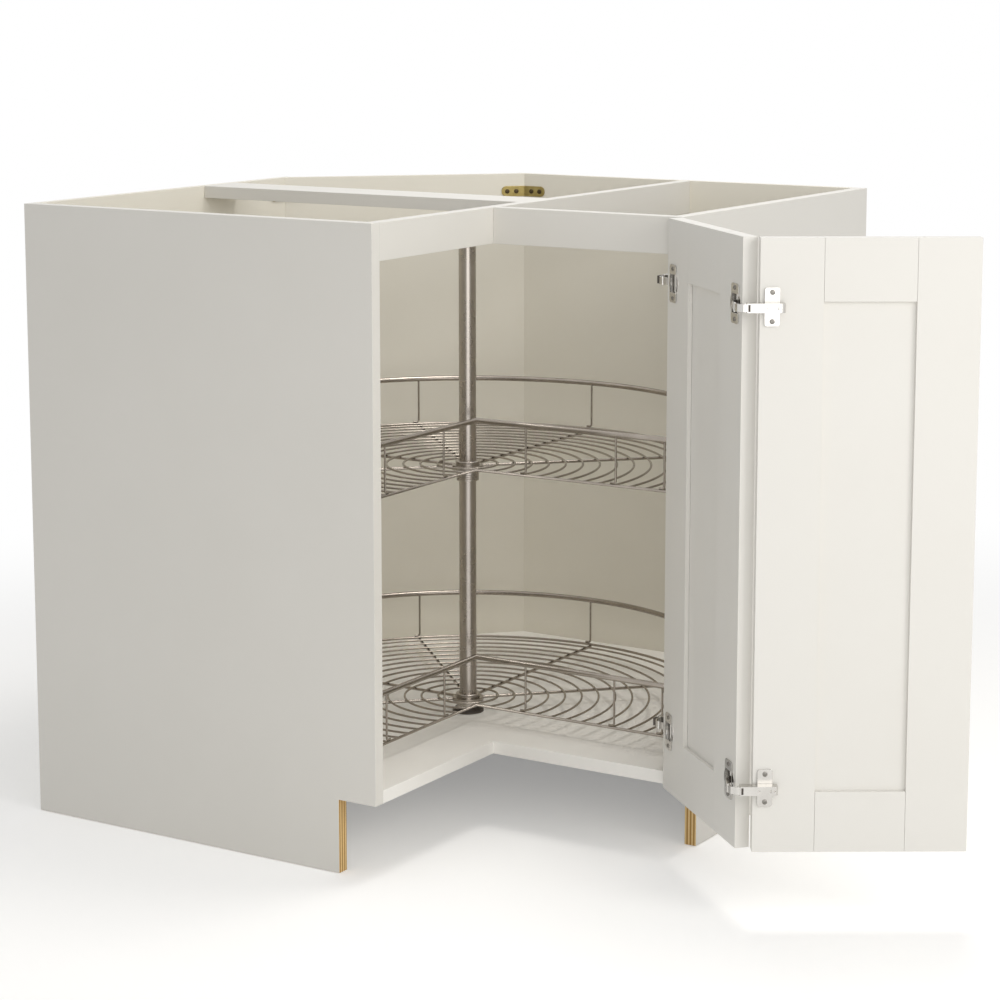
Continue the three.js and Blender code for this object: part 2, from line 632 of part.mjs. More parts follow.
function trayGrid() {
    const spokeHeight = -(WIRE + SPOKE - WELD);
    const wires = [
        new THREE.TorusGeometry(FIRST_ARC, WIRE, WIRE_SIDES, 16),
        ...outline(0, RIM_WIRE, RAIL_SIDES, CIRCLE_STEPS),
    ];
    for (let radius = FIRST_ARC + ARC_PITCH; radius < SHELF_RADIUS - ARC_PITCH / 2; radius += ARC_PITCH) {
        const past = Math.asin(NOTCH / radius);
        const steps = Math.ceil(CIRCLE_STEPS * (0.28 + 0.4 * radius / SHELF_RADIUS));
        wires.push(arcWire([0, 0], radius, -past, 1.5 * Math.PI + past, 0, WIRE, WIRE_SIDES, steps));
    }
    const centre = POLE_RADIUS + TURNING_GAP + HUB_WALL + TURNING_GAP;
    const washer = ring(centre, centre + HUB_FLANGE, spokeHeight - SPOKE, spokeHeight + SPOKE,
        ROUND_SEGMENTS);
    const spokes = spokeAngles.map((angle) => {
        const along = new THREE.Vector3(Math.cos(angle), Math.sin(angle), 0);
        const from = along.clone().multiplyScalar(centre + HUB_FLANGE / 2).setZ(spokeHeight);
        const to = along.clone().multiplyScalar(SHELF_RADIUS).setZ(spokeHeight);
        return rod(from, to, SPOKE, WIRE_SIDES);
    });
    return join([...wires, washer, ...spokes]);
}

// Guard rail with its posts. The posts stand 0.3 mm clear of the rim they are fixed to.
function gallery() {
    const foot = RIM_WIRE + TURNING_GAP;
    const across = POSTS_ALONG_CUT.map((along) => NOTCH + along);
    const places = [
        ...spokeAngles.map((angle) => [SHELF_RADIUS * Math.cos(angle), SHELF_RADIUS * Math.sin(angle)]),
        ...across.map((along) => [along, -NOTCH]),
        ...across.map((along) => [NOTCH, -along]),
        [bendAlong, -NOTCH],
        [NOTCH, -bendAlong],
    ];
    const posts = places.map(([x, y]) => rod(
        new THREE.Vector3(x, y, foot), new THREE.Vector3(x, y, GALLERY_RISE), POST, WIRE_SIDES));
    return join([...outline(GALLERY_RISE, GUARD_RAIL, RAIL_SIDES, CIRCLE_STEPS), ...posts]);
}

// Hub: a sleeve round the pole, with a flange that carries the tray's centre washer.
function hub(drop) {
    const bore = POLE_RADIUS + TURNING_GAP;
    const shelfSeat = -(WIRE + SPOKE - WELD) - SPOKE - TURNING_GAP;
    const outer = bore + HUB_WALL;
    return turned([
        [bore, -drop],
        [outer, -drop],
        [outer, shelfSeat - HUB_FLANGE_THICKNESS],
        [outer + HUB_FLANGE, shelfSeat - HUB_FLANGE_THICKNESS],
        [outer + HUB_FLANGE, shelfSeat],
        [outer, shelfSeat],
        [outer, HUB_RISE],
        [bore, HUB_RISE],
        [bore, -drop],
    ], ROUND_SEGMENTS);
}

const hubDrop = LOWER_SHELF - FLOOR_TOP - FOOT_HEIGHT - TURNING_GAP;
const shelves = [['lower', LOWER_SHELF], ['upper', UPPER_SHELF]];
shelves.forEach(([level, height]) => {
    const tray = new THREE.Group();
    tray.position.set(...poleAt, height);
    cabinet.add(tray);
    add(`${level}_hub`, hub(hubDrop), STEEL, tray);
    add(`${level}_tray_grid`, trayGrid(), STEEL, tray);
    add(`${level}_tray_gallery`, gallery(), NICKEL, tray);
});

// Collar clamped on the pole, which the upper hub turns on.
const collarTop = UPPER_SHELF - hubDrop - TURNING_GAP;
const collar = ring(POLE_RADIUS + TURNING_GAP, POLE_RADIUS + TURNING_GAP + COLLAR_WALL,
    collarTop - COLLAR_HEIGHT, collarTop, ROUND_SEGMENTS);
add('upper_collar', collar, STEEL).position.set(...poleAt, 0);

// ---------------------------------------------------------------- origin

cabinet.updateMatrixWorld(true);
const bounds = new THREE.Box3().setFromObject(cabinet, true);
const middle = bounds.getCenter(new THREE.Vector3());
cabinet.position.set(-middle.x, -middle.y, -bounds.min.z);
cabinet.updateMatrixWorld(true);

export default cabinet;
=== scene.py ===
"""Corner base cabinet with a two-tier wire carousel and a folding pair of shaker doors.

Metres, +Z up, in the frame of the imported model: the two walls of the room corner lie
at -X and +Y, and the L-shaped front with its open doors faces +X -Y.
"""

import math

import bpy
from mathutils import Matrix, Vector


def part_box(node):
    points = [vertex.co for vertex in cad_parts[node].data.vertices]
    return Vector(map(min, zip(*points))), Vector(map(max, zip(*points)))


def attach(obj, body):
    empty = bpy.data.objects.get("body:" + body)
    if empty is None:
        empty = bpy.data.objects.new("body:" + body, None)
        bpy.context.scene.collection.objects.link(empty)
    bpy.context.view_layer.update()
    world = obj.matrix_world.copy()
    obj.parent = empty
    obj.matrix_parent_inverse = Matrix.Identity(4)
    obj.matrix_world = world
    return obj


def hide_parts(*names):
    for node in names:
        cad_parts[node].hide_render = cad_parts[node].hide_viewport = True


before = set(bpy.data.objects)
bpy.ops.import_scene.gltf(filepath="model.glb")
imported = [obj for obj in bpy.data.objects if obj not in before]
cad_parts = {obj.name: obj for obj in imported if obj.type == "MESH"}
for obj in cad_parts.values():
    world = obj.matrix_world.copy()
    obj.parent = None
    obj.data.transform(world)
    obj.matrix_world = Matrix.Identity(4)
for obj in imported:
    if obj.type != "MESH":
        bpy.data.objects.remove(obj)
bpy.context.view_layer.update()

bpy.ops.object.select_all(action="DESELECT")
scene = bpy.context.scene
mm = 0.001

# ---------------------------------------------------------------- camera
# The photograph was taken from the open side of the cabinet, a little above its top, by a
# level camera whose lens was shifted far down. The other views keep this camera's shift,
# so it is small here, and the camera looks down instead.
quarter = math.radians(90)
heading, tilt = 2.1278, 0.1557       # from +X, and down from level, in radians
camera = bpy.data.objects.new("camera", bpy.data.cameras.new("camera"))
scene.collection.objects.link(camera)
camera.location = (1.87, -3.249, 1.183)
camera.rotation_euler = (quarter - tilt, 0, heading - quarter)
camera.data.lens = 96.2
camera.data.sensor_width = 36
camera.data.shift_y = -0.1
scene.camera = camera

# ---------------------------------------------------------------- studio floor
# A pale paper sweep. Close to the cabinet it takes the soft shadow; further out it fades
# into the white of the background, so that no horizon shows. A faint glow, which only the
# camera and reflections see, lifts its tone.
sweep_size, below_feet = 24, 0.6 * mm
fade_from, fade_to, floor_lift = 1.0, 2.3, 0.25


def linear(code):
    """An sRGB hex colour as linear RGBA."""
    parts = [int(code[i:i + 2], 16) / 255 for i in (1, 3, 5)]
    return [p / 12.92 if p <= 0.04045 else ((p + 0.055) / 1.055) ** 2.4 for p in parts] + [1]


def add_node(tree, kind, sockets=None, **settings):
    """Adds a shader node. A socket is given by name or number, with a value or a link."""
    made = tree.nodes.new(kind)
    for name, value in settings.items():
        setattr(made, name, value)
    for socket, value in (sockets or {}).items():
        if isinstance(value, bpy.types.NodeSocket):
            tree.links.new(value, made.inputs[socket])
        else:
            made.inputs[socket].default_value = value
    return made


bpy.ops.mesh.primitive_plane_add(size=sweep_size, location=(0, 0, -below_feet))
floor = bpy.context.object
floor.name = "studio_floor"

paper = bpy.data.materials.new("white_paper_sweep")
paper.use_nodes = True
tree = paper.node_tree
tree.nodes.clear()
place = add_node(tree, "ShaderNodeTexCoord").outputs["Object"]
reach = add_node(tree, "ShaderNodeVectorMath", {0: place}, operation="LENGTH").outputs["Value"]
fade = add_node(tree, "ShaderNodeMapRange",
                {"Value": reach, "From Min": fade_from, "From Max": fade_to},
                interpolation_type="SMOOTHSTEP").outputs["Result"]
rays = add_node(tree, "ShaderNodeLightPath").outputs
seen = add_node(tree, "ShaderNodeMath", {0: rays["Is Camera Ray"], 1: rays["Is Glossy Ray"]},
                operation="MAXIMUM").outputs[0]
fibre = add_node(tree, "ShaderNodeTexNoise", {"Vector": place, "Scale": 90.0, "Detail": 4.0})
tone = add_node(tree, "ShaderNodeMix", {"Factor": fibre.outputs["Fac"], "A": linear("#EDECE9"),
                                        "B": linear("#F4F3F1")}, data_type="RGBA")
matt = add_node(tree, "ShaderNodeBsdfDiffuse", {"Color": tone.outputs["Result"]}).outputs[0]
lift = add_node(tree, "ShaderNodeMath", {0: seen, 1: floor_lift}, operation="MULTIPLY").outputs[0]
glow = add_node(tree, "ShaderNodeEmission", {"Strength": lift}).outputs[0]
near = add_node(tree, "ShaderNodeAddShader", {0: matt, 1: glow}).outputs[0]
far = add_node(tree, "ShaderNodeEmission", {"Strength": 1.0}).outputs[0]
faded = add_node(tree, "ShaderNodeMath", {0: fade, 1: seen}, operation="MULTIPLY").outputs[0]
both = add_node(tree, "ShaderNodeMixShader", {0: faded, 1: near, 2: far}).outputs[0]
add_node(tree, "ShaderNodeOutputMaterial", {"Surface": both})
floor.data.materials.append(paper)

# ---------------------------------------------------------------- studio light
# A soft even surround, with a key softbox on the right, a weaker one in front that
# reaches in through the doorway, and one overhead that shines down through the open top.
world = bpy.data.worlds.new("white_studio")
scene.world = world
world.use_nodes = True
tree = world.node_tree
tree.nodes.clear()
rays = add_node(tree, "ShaderNodeLightPath").outputs
seen = add_node(tree, "ShaderNodeMath", {0: rays["Is Camera Ray"], 1: rays["Is Glossy Ray"]},
                operation="MAXIMUM").outputs[0]
ambient = add_node(tree, "ShaderNodeBackground",
                   {"Color": linear("#F6F7F9"), "Strength": 0.61}).outputs[0]
backdrop = add_node(tree, "ShaderNodeBackground", {"Color": linear("#FFFFFF")}).outputs[0]
both = add_node(tree, "ShaderNodeMixShader", {0: seen, 1: ambient, 2: backdrop}).outputs[0]
add_node(tree, "ShaderNodeOutputWorld", {"Surface": both})

for name, place, target, size, power, tint in (
    ("softbox_key", (2.3, -0.8, 1.5), (0.1, -0.2, 0.45), 1.0, 15.5, "#FFFDFA"),
    ("softbox_front", (1.6, -2.0, 0.9), (-0.15, 0.0, 0.4), 1.4, 9.5, "#FFFDFB"),
    ("softbox_overhead", (0.2, 0.2, 2.6), (-0.2, 0.0, 0.5), 0.7, 16, "#FFFCF8"),
):
    lamp = bpy.data.objects.new(name, bpy.data.lights.new(name, "AREA"))
    scene.collection.objects.link(lamp)
    lamp.location = place
    lamp.rotation_euler = (Vector(target) - Vector(place)).to_track_quat("-Z", "Y").to_euler()
    lamp.data.size = size
    lamp.data.energy = power
    lamp.data.color = linear(tint)[:3]

scene.view_settings.view_transform = "Standard"

# ---------------------------------------------------------------- side panels
# Two 18 mm birch plywood sides, sprayed with off-white satin lacquer after the toe
# notch was cut. The lacquer stops at the foot, whose cut edge is left as bare ply.


def satin_lacquer(name, tint, shade):
    """Sprayed satin lacquer over board: a soft sheen that is slightly uneven.

    Its tone drifts over 180 mm and its gloss over the 45 mm of a spray pass.
    """
    made = bpy.data.materials.new(name)
    made.use_nodes = True
    tree = made.node_tree
    shader = tree.nodes["Principled BSDF"]
    place = add_node(tree, "ShaderNodeTexCoord").outputs["Object"]
    cloud = add_node(tree, "ShaderNodeTexNoise",
                     {"Vector": place, "Scale": 1 / (180 * mm), "Detail": 5.0, "Roughness": 0.6})
    tone = add_node(tree, "ShaderNodeMix", {"Factor": cloud.outputs["Fac"], "A": linear(shade),
                                            "B": linear(tint)}, data_type="RGBA")
    tree.links.new(tone.outputs["Result"], shader.inputs["Base Color"])
    passes = add_node(tree, "ShaderNodeTexNoise",
                      {"Vector": place, "Scale": 1 / (45 * mm), "Detail": 3.0})
    gloss = add_node(tree, "ShaderNodeMapRange",
                     {"Value": passes.outputs["Fac"], "To Min": 0.36, "To Max": 0.50})
    tree.links.new(gloss.outputs["Result"], shader.inputs["Roughness"])
    # Orange peel of about 2.5 mm, and upright grain of 0.8 mm that the lacquer bridges.
    peel = add_node(tree, "ShaderNodeTexNoise",
                    {"Vector": place, "Scale": 1 / (2.5 * mm), "Detail": 2.0}).outputs["Fac"]
    upright = add_node(tree, "ShaderNodeMapping", {"Vector": place, "Scale": (1, 1, 0.03)})
    grain = add_node(tree, "ShaderNodeTexNoise", {"Vector": upright.outputs[0],
                                                  "Scale": 1 / (0.8 * mm), "Detail": 3.0}).outputs["Fac"]
    rough = add_node(tree, "ShaderNodeMath", {0: grain, 1: 0.5, 2: peel}, operation="MULTIPLY_ADD")
    bump = add_node(tree, "ShaderNodeBump", {"Height": rough.outputs[0], "Strength": 0.35,
                                             "Distance": 0.06 * mm})
    tree.links.new(bump.outputs["Normal"], shader.inputs["Normal"])
    return made


def bare_plywood(name, across):
    """The sawn edge of birch plywood: matt, in pale and brown stripes along the board.

    across points through the board's thickness. Real plies are about 1.4 mm thick; they
    are drawn thicker here, so that they show.
    """
    ply = 2.6 * mm
    made = bpy.data.materials.new(name)
    made.use_nodes = True
    tree = made.node_tree
    shader = tree.nodes["Principled BSDF"]
    place = add_node(tree, "ShaderNodeTexCoord").outputs["Object"]
    waver = add_node(tree, "ShaderNodeTexNoise", {"Vector": place, "Scale": 1 / (40 * mm)})
    depth = add_node(tree, "ShaderNodeVectorMath", {0: place, 1: across},
                     operation="DOT_PRODUCT").outputs["Value"]
    bent = add_node(tree, "ShaderNodeMath", {0: waver.outputs["Fac"], 1: 0.6 * mm, 2: depth},
                    operation="MULTIPLY_ADD").outputs[0]
    turns = add_node(tree, "ShaderNodeMath", {0: bent, 1: math.pi / ply}, operation="MULTIPLY")
    wave = add_node(tree, "ShaderNodeMath", {0: turns.outputs[0]}, operation="SINE").outputs[0]
    layer = add_node(tree, "ShaderNodeMapRange", {"Value": wave, "From Min": -0.5, "From Max": 0.5})
    plies = add_node(tree, "ShaderNodeMix", {"Factor": layer.outputs[0], "A": linear("#A27636"),
                                             "B": linear("#EFD6A0")}, data_type="RGBA")
    fleck = add_node(tree, "ShaderNodeTexNoise",
                     {"Vector": place, "Scale": 1 / (3 * mm), "Detail": 6.0, "Roughness": 0.7})
    spots = add_node(tree, "ShaderNodeMapRange", {"Value": fleck.outputs["Fac"], "To Max": 0.5})
    tone = add_node(tree, "ShaderNodeMix", {"Factor": spots.outputs["Result"],
                                            "A": plies.outputs["Result"], "B": linear("#C79E5C")},
                    data_type="RGBA")
    tree.links.new(tone.outputs["Result"], shader.inputs["Base Color"])
    shader.inputs["Roughness"].default_value = 0.75
    bump = add_node(tree, "ShaderNodeBump", {"Height": fleck.outputs["Fac"], "Strength": 0.6,
                                             "Distance": 0.25 * mm})
    tree.links.new(bump.outputs["Normal"], shader.inputs["Normal"])
    return made


def facing(piece, direction, region=None):
    """Selects, in edit mode, the faces that look in a direction and lie in a region."""
    bpy.ops.object.mode_set(mode="OBJECT")
    for face in piece.data.polygons:
        face.select = (face.normal.dot(Vector(direction)) > 0.9
                       and (region is None or region(face.center)))
    for edge in piece.data.edges:
        edge.select = False
    for point in piece.data.vertices:
        point.select = False
    bpy.ops.object.mode_set(mode="EDIT")
    bpy.ops.mesh.select_mode(type="FACE")


def ease_edges(piece, width, segments=2):
    """Rounds the sharp edges of the active piece, and shades its flats as flats."""
    bevel = piece.modifiers.new("eased", "BEVEL")
    bevel.width = width
    bevel.segments = segments
    bevel.limit_method = "ANGLE"
    bevel.angle_limit = math.radians(30)
    bevel.harden_normals = True
    bpy.ops.object.shade_smooth()
    bpy.ops.object.modifier_apply(modifier=bevel.name)


def blank(lo, hi):
    """A squared blank between two corners."""
    bpy.ops.mesh.primitive_cube_add(size=1, location=(lo + hi) / 2, scale=hi - lo)
    made = bpy.context.object
    bpy.ops.object.transform_apply(location=True, rotation=True, scale=True)
    return made


outside_paint = satin_lacquer("satin_lacquer_on_ply", "#E4E1DA", "#DEDBD3")
ply_along_y = bare_plywood("bare_ply_edge_left", (0, 1, 0))
ply_along_x = bare_plywood("bare_ply_edge_right", (1, 0, 0))
toe_height, toe_depth = 102 * mm, 60 * mm

for side, front, edge in (("left", Vector((1, 0, 0)), ply_along_y),
                          ("right", Vector((0, -1, 0)), ply_along_x)):
    lo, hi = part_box(f"side_panel_{side}")
    # The foot below the notch, drawn up to the full height, then out to the front edge.
    foot_lo, foot_hi = Vector(lo), Vector(hi)
    foot_hi.z = lo.z + toe_height
    if side == "left":
        foot_hi.x -= toe_depth
    else:
        foot_lo.y += toe_depth
    panel = blank(foot_lo, foot_hi)
    panel.name = f"side_panel_{side}.painted"
    facing(panel, (0, 0, 1))
    bpy.ops.mesh.extrude_region_move(
        TRANSFORM_OT_translate={"value": (0, 0, hi.z - lo.z - toe_height)})
    facing(panel, front, lambda at: at.z > toe_height)
    bpy.ops.mesh.extrude_region_move(TRANSFORM_OT_translate={"value": front * toe_depth})
    bpy.ops.object.mode_set(mode="OBJECT")
    panel.data.materials.append(outside_paint)
    panel.data.materials.append(edge)
    for face in panel.data.polygons:
        bare = face.normal.dot(front) > 0.9 and face.center.z < toe_height
        face.material_index = 1 if bare or face.normal.z < -0.9 else 0
    ease_edges(panel, 0.5 * mm)
    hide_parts(f"side_panel_{side}")
    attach(panel, "cabinet")

# ---------------------------------------------------------------- back boards and floor
# 12 mm backs along both walls and across the rear corner, and an 18 mm floor between
# them. Their lacquer is the outside's with painted light: the backs' copy is lighter and
# warmer, as painted fill light and warm shade inside, and the floor's is whiter, as painted
# light falling through the open top.


def remade(node, name):
    """A copy of a CAD board as one clean solid: merged, with its flats made whole again."""
    bpy.ops.object.select_all(action="DESELECT")
    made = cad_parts[node].copy()
    made.data = made.data.copy()
    made.name = name
    made.hide_viewport = made.hide_render = False
    for key in list(made.keys()):
        del made[key]
    made.parent = None
    scene.collection.objects.link(made)
    bpy.context.view_layer.objects.active = made
    made.select_set(True)
    bpy.ops.mesh.customdata_custom_splitnormals_clear()
    bpy.ops.object.mode_set(mode="EDIT")
    bpy.ops.mesh.select_all(action="SELECT")
    bpy.ops.mesh.remove_doubles(threshold=0.01 * mm)
    bpy.ops.mesh.dissolve_limited(angle_limit=math.radians(0.5))
    bpy.ops.object.mode_set(mode="OBJECT")
    made.data.materials.clear()
    return made


def finished(piece, finish, ease, segments=2):
    """Gives the active piece its finish and rounds its sharp edges."""
    piece.data.materials.append(finish)
    ease_edges(piece, ease, segments)
    return piece


# Painted light: the inside copies of the lacquer are lighter than outside, the backs' also warmer.
inside_paint_with_painted_light = satin_lacquer("satin_lacquer_inside_painted_light", "#EDE9DD", "#E6E1D3")
floor_paint_with_painted_light = satin_lacquer("satin_lacquer_floor_painted_light", "#F9F7F2", "#F3F0E9")
for node, paint in (("back_left", inside_paint_with_painted_light), ("back_right", inside_paint_with_painted_light),
                    ("back_diagonal", inside_paint_with_painted_light), ("floor_panel", floor_paint_with_painted_light)):
    board = finished(remade(node, f"{node}.painted"), paint, 0.4 * mm)
    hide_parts(node)
    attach(board, "cabinet")

# ---------------------------------------------------------------- top rails and stretcher
# Two 50 mm rails on edge form the L of the front. The long one runs through to the
# right back; the flat stretcher from the left back holds the head of the pole.
for node in ("top_rail_long", "top_rail_right", "carousel_stretcher"):
    rail = finished(blank(*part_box(node)), outside_paint, 0.6 * mm)
    rail.name = f"{node}.painted"
    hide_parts(node)
    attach(rail, "cabinet")

# ---------------------------------------------------------------- corner braces
# Yellow-passivated steel straps with rounded ends, folded across the two rear corners
# and held to each board by two dark screws.
brace_half, brace_height, brace_thickness = 38 * mm, 16.5 * mm, 1.6 * mm
off_wall, past_fold = 0.1 * mm, 4 * mm


def metal(name, dark, light, clouds, smooth, worn=None, lines=None, draw=None):
    """A metal finish, whose tone and gloss drift in clouds of a given size and detail.

    lines is the size and strength of its surface relief, which draw can stretch.
    """
    made = bpy.data.materials.new(name)
    made.use_nodes = True
    tree = made.node_tree
    shader = tree.nodes["Principled BSDF"]
    place = add_node(tree, "ShaderNodeTexCoord").outputs["Object"]
    drift = add_node(tree, "ShaderNodeTexNoise",
                     {"Vector": place, "Scale": 1 / clouds[0], "Detail": clouds[1]}).outputs["Fac"]
    tone = add_node(tree, "ShaderNodeMix", {"Factor": drift, "A": linear(dark), "B": linear(light)},
                    data_type="RGBA")
    tree.links.new(tone.outputs["Result"], shader.inputs["Base Color"])
    shader.inputs["Metallic"].default_value = 1.0
    shader.inputs["Roughness"].default_value = smooth
    if worn:
        gloss = add_node(tree, "ShaderNodeMapRange", {"Value": drift, "To Min": smooth, "To Max": worn})
        tree.links.new(gloss.outputs["Result"], shader.inputs["Roughness"])
    if lines:
        if draw:
            place = add_node(tree, "ShaderNodeMapping", {"Vector": place, "Scale": draw}).outputs[0]
        relief = add_node(tree, "ShaderNodeTexNoise", {"Vector": place, "Scale": 1 / lines[0]})
        bump = add_node(tree, "ShaderNodeBump", {"Height": relief.outputs["Fac"],
                                                 "Strength": lines[1], "Distance": 0.03 * mm})
        tree.links.new(bump.outputs["Normal"], shader.inputs["Normal"])
    return made


# Passivation leaves a dull yellow bloom over rolled sheet. The screws are too small for
# more than a mottle; the bronzed ones are dark and even.
passivated = metal("yellow_passivated_steel", "#8A7A48", "#BBAA72", (9 * mm, 5.0), 0.30, 0.48,
                   (0.6 * mm, 0.3))
zinc = metal("zinc_plated_screw", "#6F6C67", "#9C9993", (1.5 * mm, 3.0), 0.28, 0.45)
bronzed = metal("bronzed_wood_screw", "#3A3126", "#6A5D45", (1.5 * mm, 3.0), 0.42)


def pick_edges(piece, wanted):
    """Selects, in edit mode, the edges whose two ends pass a test together."""
    bpy.ops.object.mode_set(mode="EDIT")
    bpy.ops.mesh.select_mode(type="EDGE")
    bpy.ops.mesh.select_all(action="DESELECT")
    bpy.ops.object.mode_set(mode="OBJECT")
    for edge in piece.data.edges:
        edge.select = wanted(*(piece.data.vertices[i].co for i in edge.vertices))
    bpy.ops.object.mode_set(mode="EDIT")


def cut_away(piece, tool):
    """Takes one closed piece out of another."""
    bpy.ops.object.select_all(action="DESELECT")
    bpy.context.view_layer.objects.active = piece
    piece.select_set(True)
    cutter = piece.modifiers.new("cut", "BOOLEAN")
    cutter.object = tool
    cutter.solver = "EXACT"
    bpy.ops.object.modifier_apply(modifier=cutter.name)
    bpy.data.objects.remove(tool)


# One screw, modelled on the origin with its seat below it: a raised countersunk head with
# a cross recess. Every screw of the cabinet is a copy of it.
head_radius, head_height = 3.3 * mm, 1.6 * mm
bpy.ops.mesh.primitive_cylinder_add(vertices=24, radius=head_radius, depth=head_height,
                                    location=(0, 0, 0))
screw = bpy.context.object
facing(screw, (0, 0, 1))
bpy.ops.mesh.inset(thickness=1.1 * mm, depth=0.45 * mm)
bpy.ops.mesh.inset(thickness=0.9 * mm, depth=0.12 * mm)
bpy.ops.object.mode_set(mode="OBJECT")
for turn in (0, quarter):
    bpy.ops.mesh.primitive_cube_add(size=1, scale=(3.4 * mm, 0.75 * mm, 2 * mm),
                                    location=(0, 0, 1.6 * mm), rotation=(0, 0, turn))
    blade = bpy.context.object
    bpy.ops.object.transform_apply(location=True, rotation=True, scale=True)
    cut_away(screw, blade)
screw_shape = screw.data
bpy.data.objects.remove(screw)


def drive_screw(name, at, out, finish, size=1.0):
    """Copies the screw to a seat: out points away from what it is driven into."""
    made = bpy.data.objects.new(name, screw_shape.copy())
    scene.collection.objects.link(made)
    turn = Vector(out).to_track_quat("Z", "Y").to_matrix().to_4x4()
    made.data.transform(Matrix.Translation(at) @ turn @ Matrix.Scale(size, 4))
    for face in made.data.polygons:
        face.use_smooth = False
    made.data.materials.append(finish)
    return made


for side, turn in (("right", 22.5), ("left", 67.5)):
    lo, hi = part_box(f"corner_brace_{side}")
    level = (lo.z + hi.z) / 2
    apex = (Vector((hi.x - brace_half, hi.y, level)) if side == "right"
            else Vector((lo.x, lo.y + brace_half, level)))
    # Half of the strap: a blank whose outer end is rounded, swung to its wall's angle and
    # sawn at the fold, then mirrored.
    brace = blank(Vector((-past_fold, -brace_thickness - off_wall, -brace_height / 2)),
                  Vector((brace_half, -off_wall, brace_height / 2)))
    brace.name = f"corner_brace_{side}.strap"
    pick_edges(brace, lambda a, b: min(a.x, b.x) > brace_half / 2 and abs(a.z - b.z) < 1e-6)
    bpy.ops.mesh.bevel(offset=0.46 * brace_height, segments=6, affect="EDGES")
    bpy.ops.object.mode_set(mode="OBJECT")
    brace.rotation_euler.z = math.radians(-22.5)
    bpy.ops.object.transform_apply(location=True, rotation=True, scale=True)
    bpy.ops.object.mode_set(mode="EDIT")
    bpy.ops.mesh.select_all(action="SELECT")
    bpy.ops.mesh.bisect(plane_co=(0, 0, 0), plane_no=(1, 0, 0), clear_inner=True)
    bpy.ops.object.mode_set(mode="OBJECT")
    fold = brace.modifiers.new("fold", "MIRROR")
    fold.merge_threshold = 0.01 * mm
    bpy.ops.object.modifier_apply(modifier=fold.name)
    brace.rotation_euler.z = math.radians(turn)
    brace.location = apex
    bpy.ops.object.transform_apply(location=True, rotation=True, scale=True)
    bpy.ops.object.mode_set(mode="EDIT")
    bpy.ops.mesh.select_all(action="SELECT")
    bpy.ops.mesh.normals_make_consistent(inside=False)
    bpy.ops.object.mode_set(mode="OBJECT")
    finished(brace, passivated, 0.3 * mm)
    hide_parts(f"corner_brace_{side}")
    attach(brace, "cabinet")
    for leg in (-22.5, 202.5):
        way = math.radians(leg + turn)
        along = Vector((math.cos(way), math.sin(way), 0))
        out = Vector((along.y, -along.x, 0)) if leg < 0 else Vector((-along.y, along.x, 0))
        for number, reach in enumerate((14 * mm, 29 * mm)):
            at = apex + along * reach + out * (brace_thickness + 0.3 * mm)
            wood_screw = drive_screw(f"brace_screw_{side}_{'b' if leg > 0 else 'a'}{number}",
                                     at, out, bronzed, 1.1)
            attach(wood_screw, "cabinet")

# ---------------------------------------------------------------- pole and its foot
# A 25 mm tube of bright-plated steel, drawn, so fine lines run up it. It stands in a
# dark moulded foot on the floor panel, whose top carries the lower hub.

# Plating gives a warm grey mirror in soft clouds. Real draw lines are far below a
# millimetre; they are drawn 0.9 mm apart here, so that they show.
plate_clouds, draw_lines = (30 * mm, 4.0), (0.9 * mm, 0.12)
pole_steel = metal("bright_plated_tube", "#A8A199", "#BDB6AE", plate_clouds, 0.24, 0.32,
                   draw_lines, (1, 1, 0.02))
lo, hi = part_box("pole")
axis = (lo + hi) / 2
pole_radius, tube_wall, open_depth = 12.5 * mm, 1.5 * mm, 6 * mm
bpy.ops.mesh.primitive_cylinder_add(vertices=96, radius=pole_radius, depth=hi.z - lo.z,
                                    location=axis)
pole = bpy.context.object
pole.name = "pole.tube"
bpy.ops.object.transform_apply(location=True, rotation=True, scale=True)
for end in ((0, 0, 1), (0, 0, -1)):
    facing(pole, end)
    bpy.ops.mesh.inset(thickness=tube_wall)
    bpy.ops.mesh.extrude_region_move(
        TRANSFORM_OT_translate={"value": (0, 0, -open_depth * end[2])})
bpy.ops.object.mode_set(mode="OBJECT")
finished(pole, pole_steel, 0.3 * mm)
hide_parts("pole")
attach(pole, "cabinet")

# Moulded acetal: dark, half matt and slightly gritty.
moulded = bpy.data.materials.new("dark_acetal_bearing")
moulded.use_nodes = True
tree = moulded.node_tree
shader = tree.nodes["Principled BSDF"]
place = add_node(tree, "ShaderNodeTexCoord").outputs["Object"]
grit = add_node(tree, "ShaderNodeTexNoise", {"Vector": place, "Scale": 1 / (0.8 * mm), "Detail": 3.0})
tone = add_node(tree, "ShaderNodeMix", {"Factor": grit.outputs["Fac"], "A": linear("#37312C"),
                                        "B": linear("#5A5148")}, data_type="RGBA")
tree.links.new(tone.outputs["Result"], shader.inputs["Base Color"])
shader.inputs["Roughness"].default_value = 0.5
bump = add_node(tree, "ShaderNodeBump", {"Height": grit.outputs["Fac"], "Strength": 0.4,
                                         "Distance": 0.05 * mm})
tree.links.new(bump.outputs["Normal"], shader.inputs["Normal"])

